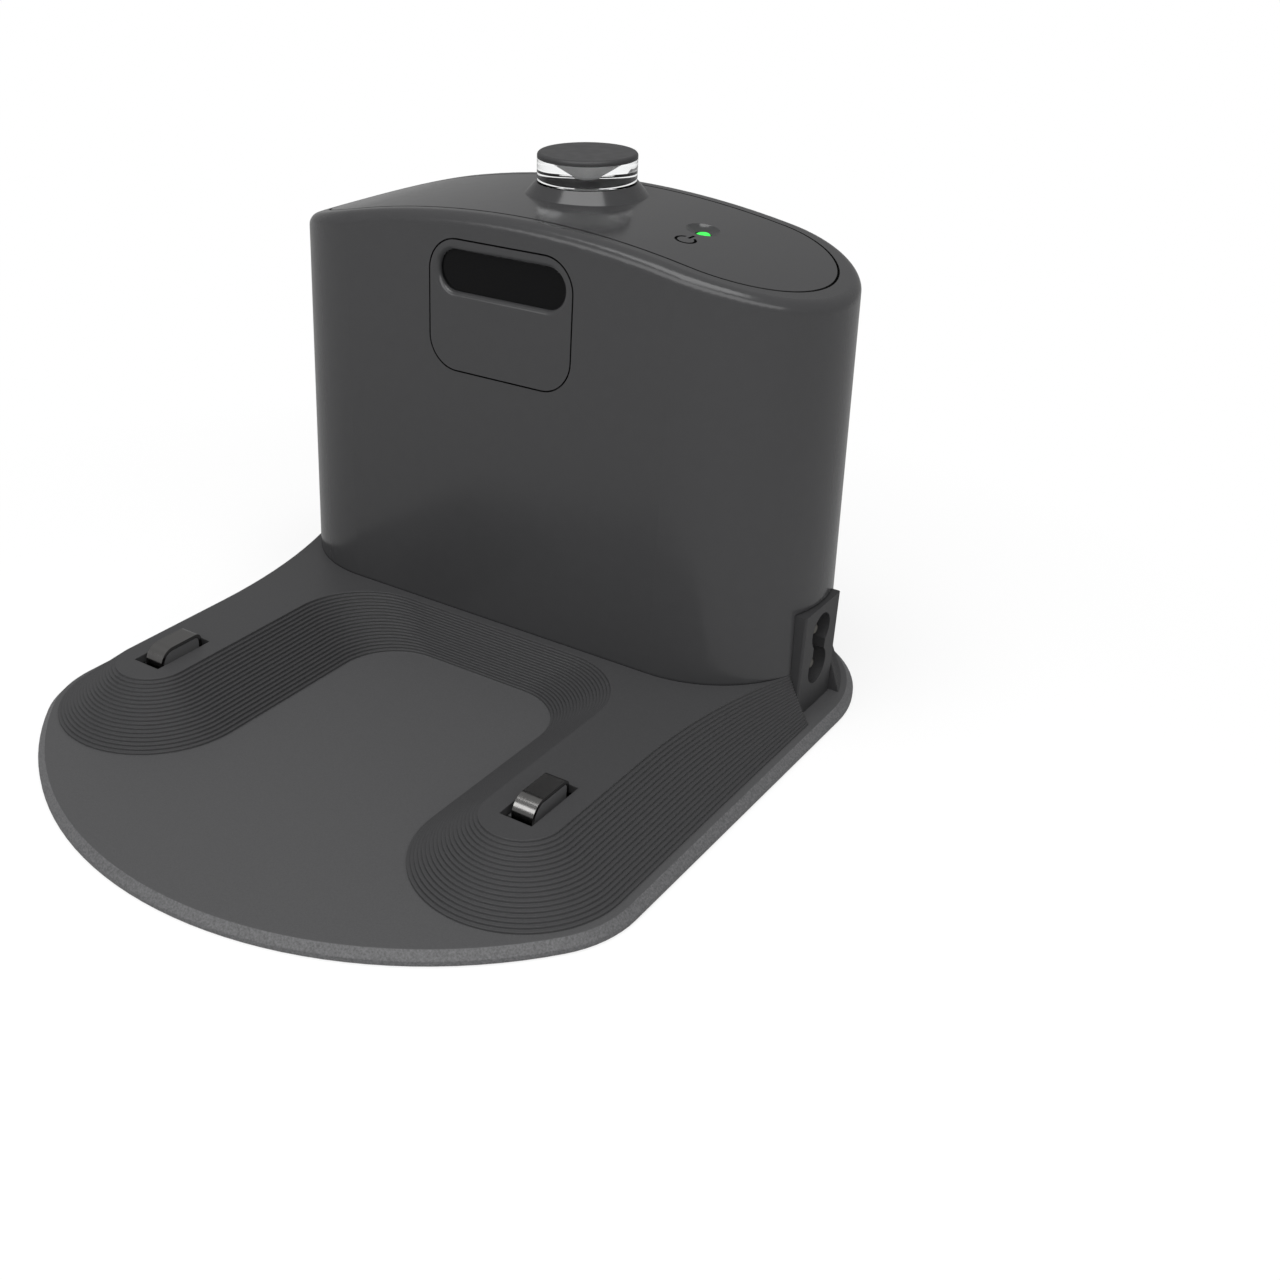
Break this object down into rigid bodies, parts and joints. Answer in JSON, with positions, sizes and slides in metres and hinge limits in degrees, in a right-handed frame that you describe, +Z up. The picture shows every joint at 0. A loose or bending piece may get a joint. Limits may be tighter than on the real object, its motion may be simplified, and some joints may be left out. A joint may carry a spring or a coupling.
{
  "type": "robot vacuum charging dock",
  "caption": "Dark plastic charging dock for a robot vacuum, with sprung contacts, a beacon on top and a mains inlet at the side.",
  "frame": {"origin": "on the floor, under the middle of the dock's bounding box", "axes": "+Z up, +X to the mains inlet's side, +Y to the back; the robot drives on from -Y"},
  "size_m": [0.151, 0.1698, 0.1124],
  "materials": {
    "shell_plastic": "matte",
    "cover_plastic": "satin",
    "window_plastic": "gloss",
    "metallised_plastic": "polished",
    "clear_plastic": "gloss",
    "light_pipe_plastic": "gloss",
    "inlet_plastic": "matte",
    "carrier_plastic": "matte",
    "contact_nickel": "polished",
    "spring_steel": "satin",
    "screw_steel": "satin",
    "foot_rubber": "matte",
    "board_laminate": "satin",
    "diode_resin": "gloss",
    "component_plastic": "satin",
    "ferrite": "matte",
    "winding_tape": "satin",
    "heat_sink_aluminium": "satin",
    "fuse_ceramic": "matte",
    "wire_insulation": "satin"
  },
  "bodies": {
    "dock": {"base_shell": "shell_plastic", "tower_shell": "shell_plastic", "front_plate": "shell_plastic", "bottom_cover": "shell_plastic", "top_cover": "cover_plastic", "beacon_cap": "cover_plastic", "ir_window": "window_plastic", "beacon_filter": "window_plastic", "beacon_cone": "metallised_plastic", "beacon_lens": "clear_plastic", "light_pipe": "light_pipe_plastic", "inlet_housing": "inlet_plastic", "emitter_shroud": "carrier_plastic", "beacon_led_holder": "carrier_plastic", "inlet_pin_upper": "contact_nickel", "inlet_pin_lower": "contact_nickel", "spring_terminal_left": "contact_nickel", "spring_terminal_right": "contact_nickel", "contact_spring_left": "spring_steel", "contact_spring_right": "spring_steel", "cover_screws": "screw_steel", "tower_screws": "screw_steel", "board_screws": "screw_steel", "top_board_screws": "screw_steel", "foot_front_left": "foot_rubber", "foot_front_right": "foot_rubber", "foot_rear_left": "foot_rubber", "foot_rear_right": "foot_rubber", "main_board": "board_laminate", "top_board": "board_laminate", "ir_emitter_left": "diode_resin", "ir_emitter_right": "diode_resin", "beacon_led": "diode_resin", "charging_led": "diode_resin", "input_capacitor": "component_plastic", "output_capacitor": "component_plastic", "power_transistor": "component_plastic", "mains_header": "component_plastic", "contact_header": "component_plastic", "link_header": "component_plastic", "transformer_core": "ferrite", "transformer_coil": "winding_tape", "heat_sink": "heat_sink_aluminium", "fuse": "fuse_ceramic", "contact_lead_left": "wire_insulation", "contact_lead_right": "wire_insulation", "inlet_lead_upper": "wire_insulation", "inlet_lead_lower": "wire_insulation", "board_link": "wire_insulation"},
    "contact_left_body": {"contact_left": "contact_nickel", "contact_carrier_left": "carrier_plastic"},
    "contact_right_body": {"contact_right": "contact_nickel", "contact_carrier_right": "carrier_plastic"}
  },
  "joints": [
    {"name": "contact_left_press", "type": "slide", "parent": "dock", "child": "contact_left_body", "axis": [0, 0, 1], "range_m": [-0.0023, 0], "stiffness_N_per_m": 300, "springref_m": 0.002, "deforming": ["contact_spring_left"]},
    {"name": "contact_right_press", "type": "slide", "parent": "dock", "child": "contact_right_body", "axis": [0, 0, 1], "range_m": [-0.0023, 0], "stiffness_N_per_m": 300, "springref_m": 0.002, "deforming": ["contact_spring_right"]}
  ]
}
